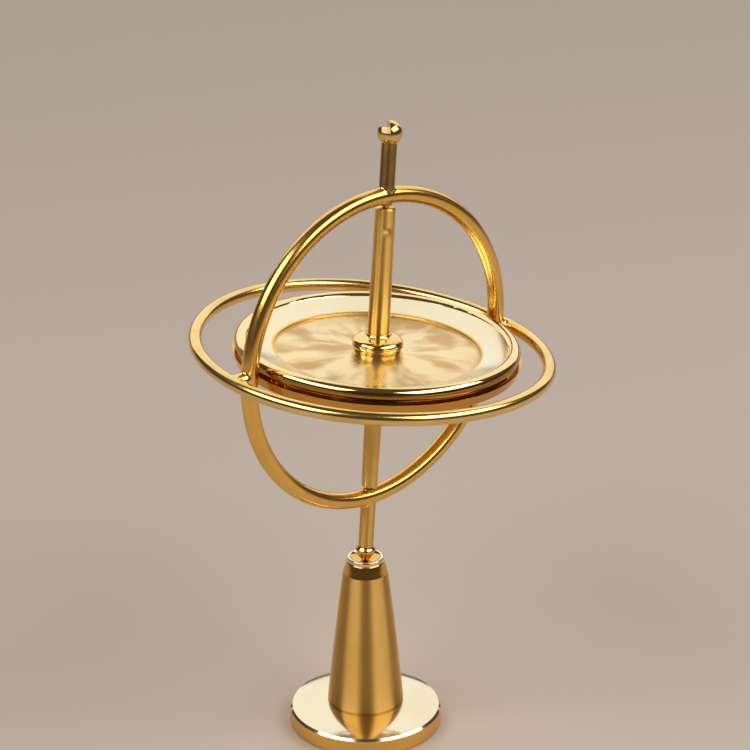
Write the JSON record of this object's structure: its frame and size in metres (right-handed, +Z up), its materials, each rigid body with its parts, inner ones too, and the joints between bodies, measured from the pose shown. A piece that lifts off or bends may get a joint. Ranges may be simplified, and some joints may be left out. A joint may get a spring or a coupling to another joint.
{
  "type": "gyroscope on stand",
  "caption": "Demonstration gyroscope: flywheel on an axle in two crossed rings, leaning on a ball foot in the cup of a conical pedestal stand.",
  "frame": {"origin": "centre of the stand's underside", "axes": "+Z up along the stand's axis; the vertical ring of the gyroscope stands over the X axis, and the gyroscope leans about 3.2 degrees towards +X and a little towards -Y at rest"},
  "size_m": [0.065, 0.065, 0.1154],
  "materials": {
    "polished_plate": "polished",
    "satin_cone": "satin",
    "polished_cup": "polished",
    "polished_ring": "polished",
    "polished_band": "polished",
    "solder": "polished, slightly uneven",
    "polished_stem": "polished",
    "bearing_brass": "turned",
    "wheel_brass": "polished rim, satin web",
    "polished_axle": "polished",
    "polished_collar": "polished",
    "steel": "ground"
  },
  "bodies": {
    "stand": {"base_plate": "polished_plate", "base_stud": "steel", "pedestal": "satin_cone", "cup": "polished_cup"},
    "foot": {"foot_ball": "steel"},
    "frame": {"vertical_ring": "polished_ring", "horizontal_ring": "polished_band", "left_braze": "solder", "right_braze": "solder", "top_stem": "polished_stem", "slotted_ball": "polished_stem", "bottom_stem": "polished_stem", "upper_bearing": "bearing_brass", "lower_bearing": "bearing_brass"},
    "wheel": {"flywheel": "wheel_brass", "axle": "polished_axle", "upper_collar": "polished_collar", "lower_collar": "polished_collar", "upper_pivot_pin": "steel", "lower_pivot_pin": "steel"}
  },
  "joints": [
    {"name": "precession", "type": "hinge", "parent": "stand", "child": "foot", "pos_m": [0, 0, 0.03435], "axis": [0, 0, 1], "continuous": true},
    {"name": "lean", "type": "hinge", "parent": "foot", "child": "frame", "pos_m": [0, 0, 0.03435], "axis": [0.3923, 0.9198, 0], "range_deg": [-63.25, 56.75]},
    {"name": "spin", "type": "hinge", "parent": "frame", "child": "wheel", "pos_m": [0.00206, -0.00088, 0.07376], "axis": [0.0521, -0.0222, 0.9984], "continuous": true}
  ]
}
